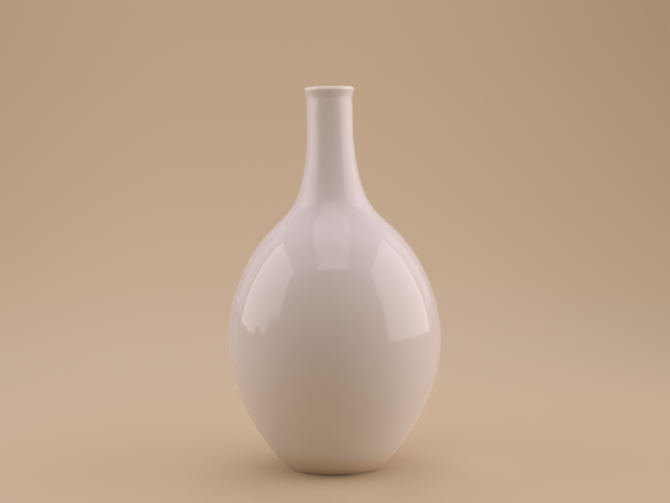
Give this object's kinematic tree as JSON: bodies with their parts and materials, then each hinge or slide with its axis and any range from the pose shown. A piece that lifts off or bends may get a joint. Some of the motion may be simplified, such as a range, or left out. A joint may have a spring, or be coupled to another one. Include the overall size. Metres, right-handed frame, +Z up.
{
  "type": "bottle vase",
  "caption": "Long-necked porcelain bottle vase with a low rounded belly, sloping shoulders, slim flared neck and foot ring, glazed white inside and out, for holding cut flower stems in water.",
  "frame": {"origin": "centre of the foot ring, on the surface that the vase stands on", "axes": "+Z up along the vase's axis of revolution, towards the lip; X and Y level, in any direction about that axis"},
  "size_m": [0.141, 0.141, 0.25],
  "materials": {
    "biscuit_porcelain": "matt, fine grained, unglazed",
    "luting_slip": "matt fired slip",
    "white_glaze": "glossy"
  },
  "bodies": {
    "root": {"lower_body_section": "biscuit_porcelain", "belly_slip_joint": "luting_slip", "shoulder_section": "biscuit_porcelain", "neck_slip_joint": "luting_slip", "neck_section": "biscuit_porcelain", "outer_glaze": "white_glaze", "inner_glaze": "white_glaze", "base_glaze": "white_glaze"}
  },
  "joints": []
}
